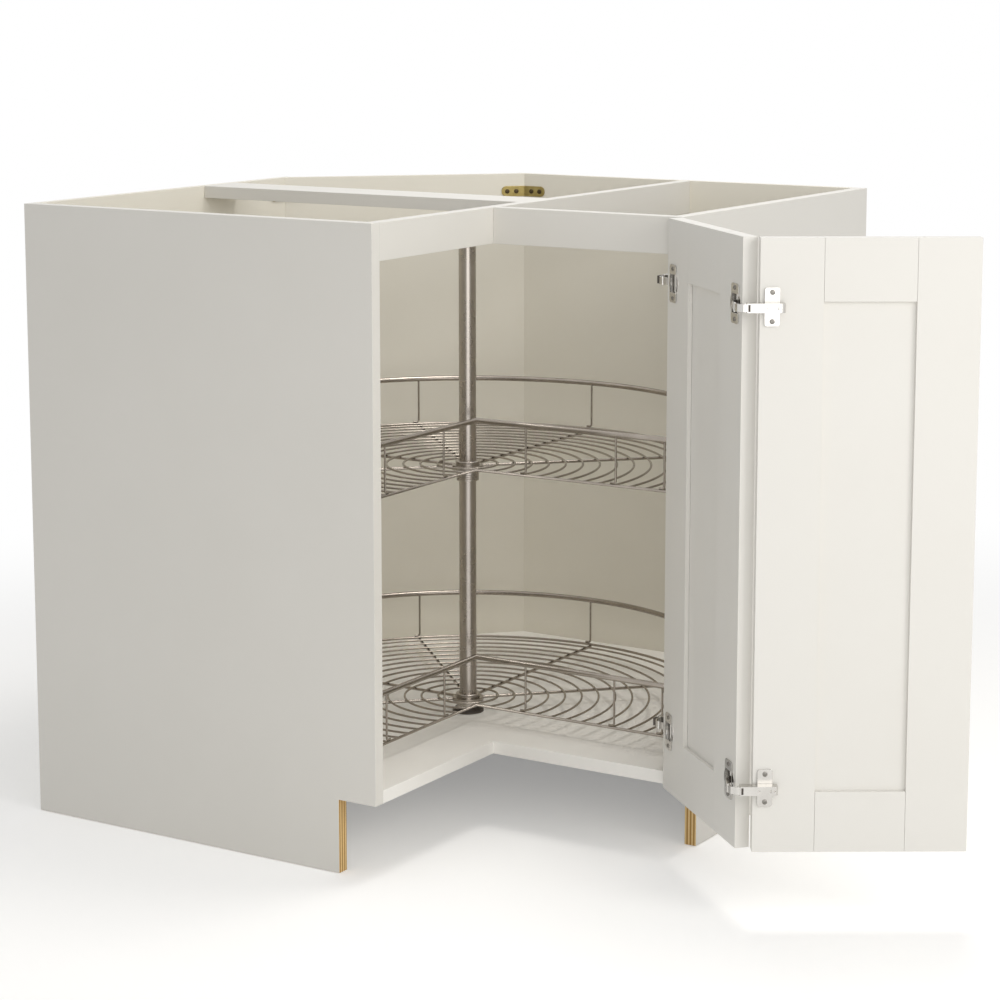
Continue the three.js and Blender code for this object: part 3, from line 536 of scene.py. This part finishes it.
lo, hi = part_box("pole_foot")
foot_radius, base_height, step_height = 23 * mm, 3.4 * mm, 2.2 * mm
bpy.ops.mesh.primitive_cylinder_add(vertices=72, radius=foot_radius, depth=base_height,
                                    location=(axis.x, axis.y, lo.z + base_height / 2))
foot = bpy.context.object
foot.name = "pole_foot.moulding"
bpy.ops.object.transform_apply(location=True, rotation=True, scale=True)
facing(foot, (0, 0, 1))
bpy.ops.mesh.inset(thickness=3.2 * mm)
bpy.ops.mesh.extrude_region_move(TRANSFORM_OT_translate={"value": (0, 0, step_height)})
bpy.ops.mesh.inset(thickness=2.4 * mm)
bpy.ops.mesh.extrude_region_move(
    TRANSFORM_OT_translate={"value": (0, 0, hi.z - lo.z - base_height - step_height)})
bpy.ops.object.mode_set(mode="OBJECT")
finished(foot, moulded, 0.5 * mm, 3)
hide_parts("pole_foot")
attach(foot, "cabinet")

# ---------------------------------------------------------------- hubs
# Turned steel sleeves that slide round the pole. Each has a flange under the tray's
# centre washer and a rolled bead on top; the upper one turns on a clamped collar.
bore = pole_radius + 0.3 * mm
hub_wall, flange_reach, flange_depth, bead = 4 * mm, 6 * mm, 3 * mm, 1.2 * mm
washer_drop = 10.9 * mm                   # from the hub's top down to the tray's washer


def ring(sides, radius, centre, tipped=0):
    """A circle to draw a body from, all selected in edit mode. tipped turns it about X."""
    bpy.ops.mesh.primitive_circle_add(vertices=sides, radius=radius, location=centre,
                                      rotation=(tipped, 0, 0))
    made = bpy.context.object
    bpy.ops.object.transform_apply(location=True, rotation=True, scale=True)
    bpy.ops.object.mode_set(mode="EDIT")
    bpy.ops.mesh.select_all(action="SELECT")
    return made


def turned(sides, radius, centre, profile, along=Vector((0, 0, 1))):
    """A round body drawn from a ring. Each step says how far out and how far along."""
    made = ring(sides, radius, centre, quarter * along.y)
    bpy.ops.mesh.select_mode(type="VERT")
    bpy.ops.mesh.select_all(action="SELECT")
    for out, forth in profile:
        bpy.ops.mesh.extrude_region_move(TRANSFORM_OT_translate={"value": along * forth})
        if out:
            grown = (radius + out) / radius
            bpy.ops.transform.resize(value=[1 if part else grown for part in along],
                                     center_override=centre)
            radius += out
    return made


def closed_up():
    """Merges the ends of a turned body where they meet, and turns its faces outward."""
    bpy.ops.mesh.select_all(action="SELECT")
    bpy.ops.mesh.remove_doubles(threshold=0.01 * mm)
    bpy.ops.mesh.normals_make_consistent(inside=False)
    bpy.ops.object.mode_set(mode="OBJECT")


for level in ("lower", "upper"):
    lo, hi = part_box(f"{level}_hub")
    base = Vector((axis.x, axis.y, lo.z))
    seat = hi.z - washer_drop - lo.z
    hub = turned(72, bore, base,
                 ((hub_wall, 0), (0, seat - flange_depth), (flange_reach, 0), (0, flange_depth),
                  (-flange_reach, 0), (0, 7.8 * mm), (bead, 0.8 * mm), (0, 1.5 * mm),
                  (-bead, 0.8 * mm), (-hub_wall, 0), (0, lo.z - hi.z)))
    hub.name = f"{level}_hub.turned"
    closed_up()
    finished(hub, pole_steel, 0.35 * mm)
    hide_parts(f"{level}_hub")
    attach(hub, f"{level}_shelf")

# ---------------------------------------------------------------- collar
# A turned steel ring with two grooves, which the upper hub turns on. It is clamped on the
# pole by a grub screw, which is not drawn.
lo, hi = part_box("upper_collar")
base = Vector((axis.x, axis.y, lo.z))
collar_wall, groove = 3.5 * mm, 0.7 * mm
collar = turned(72, bore, base,
                ((collar_wall, 0), (0, 2.4 * mm), (-groove, 0.3 * mm), (0, 0.6 * mm),
                 (groove, 0.3 * mm), (0, 1.8 * mm), (-groove, 0.3 * mm), (0, 0.6 * mm),
                 (groove, 0.3 * mm), (0, 2.4 * mm), (-collar_wall, 0), (0, lo.z - hi.z)))
collar.name = "upper_collar.turned"
closed_up()
finished(collar, pole_steel, 0.25 * mm)
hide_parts("upper_collar")
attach(collar, "cabinet")

# ---------------------------------------------------------------- wire trays
# Pie-cut baskets of bright-plated steel wire: rings of thin wire welded on five spokes,
# inside a heavier rim, with a washer round the hub and a guard rail on posts.

# A tray is drawn about the origin with its cut towards +X, one half in +Y, and mirrored.
# It is then turned to the room's corner and set down on each hub.
tray_radius = 360 * mm            # to the centre line of the rim
cut_aside = 38.5 * mm             # from the pole's axis to each straight edge of the cut
bend_radius = 14 * mm
bend_aside = cut_aside - bend_radius
bend_along = math.sqrt((tray_radius - bend_radius) ** 2 - bend_aside ** 2)
bend_turn = math.atan2(bend_aside, bend_along)
eighth = math.radians(45)
# Plated wire: a glossier grey than the tube's, finely rippled. Its grey is painted darker,
# a painted reflection of the cabinet's dark, warm inside.
wire_steel_painted_dark = metal("plated_wire_painted_reflection", "#91897F", "#B2AAA1", plate_clouds, 0.17, 0.30,
                   draw_lines)


def swept_wire(thickness, sides, radius, height, turn, steps):
    """A wire swept about the pole from the back of a tray. Its end is left selected."""
    wire = ring(sides, thickness, (-radius, 0, height), quarter)
    bpy.ops.mesh.spin(steps=steps, angle=turn, center=(0, 0, 0), axis=(0, 0, 1))
    return wire


def half_outline(thickness, sides, height):
    """Half a rim: most of the circle, a bend, and a straight that meets the other half's."""
    wire = swept_wire(thickness, sides, tray_radius, height, 3 * eighth + bend_turn, 66)
    middle = Vector((math.cos(eighth - bend_turn), math.sin(eighth - bend_turn), 0))
    bpy.ops.mesh.spin(steps=10, angle=quarter - bend_turn, axis=(0, 0, 1),
                      center=middle * (tray_radius - bend_radius))
    inward = Vector((-1, -1, 0)).normalized() * (bend_along - cut_aside + 12 * mm)
    bpy.ops.mesh.extrude_region_move(TRANSFORM_OT_translate={"value": inward})
    bpy.ops.mesh.select_all(action="SELECT")
    bpy.ops.mesh.bisect(plane_co=(0, 0, 0), plane_no=(0, 1, 0), clear_inner=True)
    bpy.ops.object.mode_set(mode="OBJECT")
    return wire


def assembled(parts, name):
    """Joins finished parts into one piece under a name."""
    bpy.ops.object.select_all(action="DESELECT")
    for part in parts:
        part.select_set(True)
    bpy.context.view_layer.objects.active = parts[0]
    bpy.ops.object.join()
    parts[0].name = name
    return parts[0]


def mirrored(parts, name):
    """Joins the half's wires and mirrors them across the middle of the pie cut."""
    whole = assembled(parts, name)
    twin = whole.modifiers.new("other_half", "MIRROR")
    twin.use_axis = (False, True, False)
    twin.merge_threshold = 0.02 * mm
    bpy.ops.object.modifier_apply(modifier=twin.name)
    return whole


def completed(whole, parts):
    """Adds the parts that lie on the mirror line, and turns the tray to the room's corner."""
    assembled([whole] + parts, whole.name)
    bpy.ops.object.mode_set(mode="EDIT")
    bpy.ops.mesh.select_all(action="SELECT")
    bpy.ops.mesh.normals_make_consistent(inside=False)
    bpy.ops.object.mode_set(mode="OBJECT")
    bpy.ops.object.shade_smooth_by_angle(angle=math.radians(50))
    whole.rotation_euler.z = -eighth
    bpy.ops.object.transform_apply(location=True, rotation=True, scale=True)
    whole.data.materials.clear()
    whole.data.materials.append(wire_steel_painted_dark)


# The grid: twelve thin rings 24.7 mm apart, stopped at the cut, and spokes under them.
ring_wire, rim_wire, spoke_wire, sunk = 1.6 * mm, 2 * mm, 2.2 * mm, 0.4 * mm
first_ring, ring_pitch = 44 * mm, 24.7 * mm
grid_drop = 5 * mm                # from a hub's top down to the middle of its tray's rings
spoke_level = -(ring_wire + spoke_wire - sunk)
washer_from, washer_to = pole_radius + 4.6 * mm, pole_radius + 10.6 * mm

wires = [half_outline(rim_wire, 12, 0)]
radius = first_ring
while radius < tray_radius - ring_pitch / 2:
    past = math.asin(cut_aside / radius)
    if radius > first_ring:
        wire = swept_wire(ring_wire, 10, radius, 0, 3 * eighth + past,
                          round(20 + 40 * radius / tray_radius))
        bpy.ops.mesh.edge_face_add()
    else:
        wire = swept_wire(ring_wire, 10, radius, 0, math.pi, 28)
    bpy.ops.object.mode_set(mode="OBJECT")
    wires.append(wire)
    radius += ring_pitch


def spoke(turn):
    """A wire from the washer to the rim, its outer end rounded over, turned to its place.

    transform.rotate turns clockwise for a positive angle here.
    """
    start, end = washer_to - 3 * mm, tray_radius + 1.2 * mm
    bpy.ops.mesh.primitive_cylinder_add(vertices=12, radius=spoke_wire, depth=end - start,
                                        location=((start + end) / 2, 0, spoke_level),
                                        rotation=(0, quarter, 0))
    wire = bpy.context.object
    bpy.ops.object.transform_apply(location=True, rotation=True, scale=True)
    facing(wire, (1, 0, 0))
    bpy.ops.mesh.bevel(offset=0.9 * mm, segments=3)
    bpy.ops.mesh.select_all(action="SELECT")
    bpy.ops.transform.rotate(value=turn, orient_axis="Z", center_override=(0, 0, 0))
    bpy.ops.object.mode_set(mode="OBJECT")
    return wire


grid = mirrored(wires + [spoke(-quarter), spoke(-3 * eighth)], "tray_grid_pattern")
washer = turned(64, washer_from, Vector((0, 0, spoke_level - spoke_wire)),
                ((washer_to - washer_from, 0), (0, 2 * spoke_wire),
                 (washer_from - washer_to, 0), (0, -2 * spoke_wire)))
closed_up()
ease_edges(washer, 0.5 * mm)
completed(grid, [washer, spoke(math.pi)])

# The guard rail: an 8 mm rail 72 mm above the grid, on thin posts whose feet are bent
# along the rim and welded down.
rail_wire, rail_rise, post_wire, post_bend = 4 * mm, 72 * mm, 1.5 * mm, 3.5 * mm


def post(at, heading):
    """A post under the rail at a point of the rim. Its foot lies along the heading."""
    wire = ring(10, post_wire, (0, 0, rail_rise))
    bpy.ops.mesh.edge_face_add()
    bend_at = rim_wire + post_wire + post_bend
    bpy.ops.mesh.extrude_region_move(
        TRANSFORM_OT_translate={"value": (0, 0, bend_at - rail_rise)})
    bpy.ops.mesh.spin(steps=6, angle=-quarter, center=(post_bend, 0, bend_at), axis=(0, -1, 0))
    bpy.ops.mesh.extrude_region_move(TRANSFORM_OT_translate={"value": (5 * mm, 0, 0)})
    bpy.ops.object.mode_set(mode="OBJECT")
    wire.rotation_euler.z = heading
    wire.location = at
    bpy.ops.object.transform_apply(location=True, rotation=True, scale=True)
    return wire


along_cut = Vector((math.cos(eighth), math.sin(eighth), 0))
corner = Vector((cut_aside / math.sin(eighth), 0, 0))
wires = [half_outline(rail_wire, 16, rail_rise)]
for turn in (quarter, 3 * eighth):
    at = Vector((math.cos(turn), math.sin(turn), 0)) * tray_radius
    wires.append(post(at, turn + quarter))
for reach in (84 * mm, 230 * mm, bend_along - cut_aside):
    wires.append(post(corner + along_cut * reach, eighth + math.pi))
gallery = mirrored(wires, "tray_gallery_pattern")
completed(gallery, [post(Vector((-tray_radius, 0, 0)), -quarter)])

for level in ("lower", "upper"):
    lo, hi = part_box(f"{level}_hub")
    seat = Matrix.Translation((axis.x, axis.y, hi.z - grid_drop))
    for kind, pattern in (("grid", grid), ("gallery", gallery)):
        shape = pattern.data.copy()
        shape.transform(seat)
        tray = bpy.data.objects.new(f"{level}_tray_{kind}.wire", shape)
        scene.collection.objects.link(tray)
        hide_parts(f"{level}_tray_{kind}")
        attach(tray, f"{level}_shelf")
for pattern in (grid, gallery):
    bpy.data.objects.remove(pattern)

# ---------------------------------------------------------------- doors
# Two shaker leaves, 19 mm thick, each of two stiles, two rails and a flat panel, joined in
# grooves and sprayed off-white. The joints show as fine lines. A leaf's own frame has X
# from its first edge to its second, Y from its back face to its front, and Z up.
door_paint = satin_lacquer("satin_lacquer_on_doors", "#E6E4DE", "#E2DFD8")
door_thickness, door_width = 19 * mm, 269.8 * mm
right_turn, left_turn = math.radians(-42), math.radians(32.5)

lo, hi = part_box("door_right_stile_first")
right_leaf = (Matrix.Translation((lo.x, hi.y - door_thickness * math.cos(right_turn), lo.z))
              @ Matrix.Rotation(right_turn, 4, "Z"))
lo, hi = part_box("door_left_stile_first")
left_leaf = (Matrix.Translation((lo.x + door_thickness * math.sin(left_turn), lo.y, lo.z))
             @ Matrix.Rotation(left_turn, 4, "Z"))

for side in ("right", "left"):
    for member in ("stile_first", "stile_second", "rail_bottom", "rail_top", "panel"):
        node = f"door_{side}_{member}"
        piece = finished(remade(node, f"{node}.painted"), door_paint, 0.15 * mm)
        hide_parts(node)
        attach(piece, f"door_{side}")

# ---------------------------------------------------------------- hinge cups
# Pressed and nickelled steel: a 35 mm bowl with a rolled lip, in a flange with rounded
# corners that is open over the bowl, with two pins and a dark buffer inside. Four sit in
# the back of the right-hand door. Each is drawn on the origin, with Y going into the door.

# Nickel on pressed sheet gives the palest mirror here, softened by fine ripples.
nickel = metal("bright_nickel", "#C0BDB8", "#DAD8D4", plate_clouds, 0.18, 0.28, draw_lines)
cup_radius, cup_wall, cup_setback = 17.5 * mm, 1 * mm, 22.5 * mm
flange_sheet, flange_screw = 1.2 * mm, 19.5 * mm


def block(lo, hi):
    """A blank between two corners, given in millimetres."""
    return blank(Vector(lo) * mm, Vector(hi) * mm)


def round_bar(radius, length, at, turned=(0, 0, 0), sides=24):
    """A round bar along Z unless turned: a pin, or a drill. Sizes in millimetres."""
    bpy.ops.mesh.primitive_cylinder_add(vertices=sides, radius=radius * mm, depth=length * mm,
                                        location=Vector(at) * mm, rotation=turned)
    bar = bpy.context.object
    bpy.ops.object.transform_apply(location=True, rotation=True, scale=True)
    return bar


def fit_copy(pattern, node, finish, matrix, body):
    """Copies a fitting to its place, where it takes over from its CAD node."""
    shape = pattern.data.copy()
    shape.transform(matrix)
    made = bpy.data.objects.new(f"{node}.{finish}", shape)
    scene.collection.objects.link(made)
    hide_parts(node)
    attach(made, body)


flange = block((-12, -1.5, -25), (12, -0.3, 25))
pick_edges(flange, lambda a, b: abs(a.y - b.y) > flange_sheet / 2)
bpy.ops.mesh.bevel(offset=4.5 * mm, segments=6, affect="EDGES")
bpy.ops.object.mode_set(mode="OBJECT")
cut_away(flange, block((-10.3, -4, -12), (10.3, 4, 12)))
finished(flange, nickel, 0.3 * mm)

# The bowl, drawn ring by ring from the outside: over the lip, down the wall, and across.
steps = ((0.7, -0.1), (0.4, 0.1), (0.1, 0.2), (-0.3, 0.2), (-0.8, 0.2), (-0.2, 0.4),
         (0, 8.2), (-1.0, 1.2), (-4, 0.2), (-9, 0))
bowl = turned(48, cup_radius - cup_wall, Vector((0, -0.1 * mm, 0)),
              [(out * mm, deep * mm) for out, deep in steps], Vector((0, 1, 0)))
bpy.ops.mesh.edge_face_add()
bpy.ops.object.mode_set(mode="OBJECT")
shell = bowl.modifiers.new("sheet", "SOLIDIFY")
shell.thickness = 0.5 * mm
shell.offset = 0
bpy.ops.object.modifier_apply(modifier=shell.name)
bowl.data.materials.append(nickel)
bpy.ops.object.shade_smooth_by_angle(angle=math.radians(35))

cup_parts = [flange, bowl]
for across, deep in ((-5.5, 4.5), (4.5, 8.0)):
    cup_parts.append(finished(round_bar(1.3, 30, (across, deep, 0)), nickel, 0.2 * mm))
buffer = block((3.5, 6.4, -9), (10.5, 10.6, 9))
cup_parts.append(finished(buffer, moulded, 0.8 * mm, 3))
cup = assembled(cup_parts, "hinge_cup_pattern")

# ---------------------------------------------------------------- hinge plates and arms
# Each hinge arm is a nickelled channel on a plate with rounded corners, held by two
# countersunk screws. A link comes out of its open end and bends round to the cup. They
# are drawn in the plate's frame: X towards the cup's side, -Y away from the board.
plate = block((-9.5, -2.4, -24), (9.5, -0.05, 24))
pick_edges(plate, lambda a, b: abs(a.y - b.y) > 1 * mm)
bpy.ops.mesh.bevel(offset=3.6 * mm, segments=6, affect="EDGES")
bpy.ops.object.mode_set(mode="OBJECT")
finished(plate, nickel, 0.35 * mm)
plate_screw = 18 * mm
wide_slot = 2.6                   # from the open end to the slot's middle, in millimetres


def channel(open_end, shut_end):
    """The arm's cover: hollow at its open end, sloped at the other, pierced on top.

    It has two screw holes, a wide slot near its open end and a driver slot near the other.
    """
    first, last = sorted((open_end, shut_end))
    cover = block((first, -17, -5.8), (last, -2.8, 5.8))
    outward = 1 if open_end > shut_end else -1
    pick_edges(cover, lambda a, b: max(a.y, b.y) < -16 * mm
               and max(abs(a.x - shut_end * mm), abs(b.x - shut_end * mm)) < 1e-6)
    bpy.ops.mesh.bevel(offset=5 * mm, segments=5, affect="EDGES")
    facing(cover, (outward, 0, 0))
    bpy.ops.mesh.inset(thickness=1.3 * mm)
    bpy.ops.mesh.extrude_region_move(TRANSFORM_OT_translate={"value": (-outward * 20 * mm, 0, 0)})
    bpy.ops.object.mode_set(mode="OBJECT")
    cut_away(cover, round_bar(1.35, 6, (outward * 8.6, -17, 0), (quarter, 0, 0)))
    cut_away(cover, round_bar(1.3, 6, (shut_end + outward * 4.2, -16, 0), (quarter, 0, 0)))
    slot = open_end - outward * wide_slot
    cut_away(cover, block((slot - 1.3, -18, -4.2), (slot + 1.3, -14, 4.2)))
    slot = shut_end + outward * 9
    cut_away(cover, block((slot - 0.7, -18, -1.9), (slot + 0.7, -13, 1.9)))
    return finished(cover, nickel, 0.7 * mm, 3)


def link_strap(path, height):
    """A strap on edge through level points, in millimetres: drawn along them, then thickened."""
    points = [Vector((x, y, 0)) * mm for x, y in path]
    run = points[1] - points[0]
    bpy.ops.mesh.primitive_plane_add(size=1, location=(points[0] + points[1]) / 2,
                                     rotation=(quarter, 0, math.atan2(run.y, run.x)))
    strap = bpy.context.object
    strap.scale = (run.length, height * mm, 1)
    bpy.ops.object.transform_apply(location=True, rotation=True, scale=True)
    pick_edges(strap, lambda a, b: max((end.xy - points[1].xy).length for end in (a, b)) < 0.01 * mm)
    for here, there in zip(points[1:], points[2:]):
        bpy.ops.mesh.extrude_region_move(TRANSFORM_OT_translate={"value": there - here})
    bpy.ops.object.mode_set(mode="OBJECT")
    sheet = strap.modifiers.new("sheet", "SOLIDIFY")
    sheet.thickness = 2 * mm
    sheet.offset = 0
    sheet.use_even_offset = True
    bpy.ops.object.modifier_apply(modifier=sheet.name)
    return finished(strap, nickel, 0.35 * mm)


link_level = -14.2
side_path = ((13, link_level), (35.5, link_level), (42.5, -10.7), (46.5, -4.7), (48, 3.3))
fold_path = ((-20, link_level), (-36.2, link_level), (-42.7, -9.7), (-45.7, -0.2), (-45.7, 23.7),
             (-42.7, 33.7), (-35.2, 39.1), (-32.7, 40.1))
# A dark pad under the wide slot is painted shade of the hollow behind it. Each side hinge's
# link also has a dark cap on its end, painted shade of the gap at the arm's open end.
arms = {}
for kind, path, open_end, shut_end in (("side", side_path, 25, -42), ("fold", fold_path, -32, 15)):
    outward = 1 if open_end > shut_end else -1
    parts = [channel(open_end, shut_end), link_strap(path, 9.6)]
    slot = open_end - outward * wide_slot
    # Painted shade: a thin dark sheet just under the wide slot.
    painted_shade_pad = block((slot - 2, -15.65, -4.4), (slot + 2, -15.25, 4.4))
    parts.append(finished(painted_shade_pad, moulded, 0.1 * mm))
    for x, y in ((open_end + outward * 1.8, link_level + 1), path[3]):
        parts.append(finished(round_bar(1.7, 11.4, (x, y, 0)), nickel, 0.3 * mm))
    if kind == "side":
        # Painted shade: a dark cap standing for the shade in the gap at the arm's open end.
        painted_shade_cap = block((27, -19, -5.2), (36, -15.4, 5.2))
        parts.append(finished(painted_shade_cap, moulded, 0.5 * mm))
    arms[kind] = assembled(parts, f"{kind}_arm_pattern")

for level in ("lower", "upper"):
    lo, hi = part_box(f"side_hinge_plate_{level}")
    height = (lo.z + hi.z) / 2
    side_mount = (Matrix.Translation((hi.x, (lo.y + hi.y) / 2, height))
                  @ Matrix.Rotation(-quarter, 4, "Z"))
    rise = height - right_leaf.translation.z
    fold_mount = left_leaf @ Matrix.Translation((15 * mm, -0.3 * mm, rise))
    for kind, mount, body in (("side", side_mount, "cabinet"), ("fold", fold_mount, "door_left")):
        fit_copy(plate, f"{kind}_hinge_plate_{level}", "pressed", mount, body)
        fit_copy(arms[kind], f"{kind}_hinge_arm_{level}", "pressed", mount, body)
        for number, end in enumerate((-plate_screw, plate_screw)):
            at = mount @ Vector((0, -2.6 * mm, end))
            wood_screw = drive_screw(f"{kind}_plate_screw_{level}_{number}", at,
                                     mount.to_3x3() @ Vector((0, -1, 0)), zinc, 0.95)
            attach(wood_screw, body)
    for kind, along in (("side", cup_setback), ("fold", door_width - cup_setback)):
        seat = right_leaf @ Matrix.Translation((along, 0, rise))
        fit_copy(cup, f"{kind}_hinge_cup_{level}", "pressed", seat, "door_right")
        for number, end in enumerate((-flange_screw, flange_screw)):
            at = seat @ Vector((0, -1.7 * mm, end))
            wood_screw = drive_screw(f"{kind}_cup_screw_{level}_{number}", at,
                                     seat.to_3x3() @ Vector((0, -1, 0)), zinc, 0.85)
            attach(wood_screw, "door_right")
for pattern in (cup, plate, arms["side"], arms["fold"]):
    bpy.data.objects.remove(pattern)
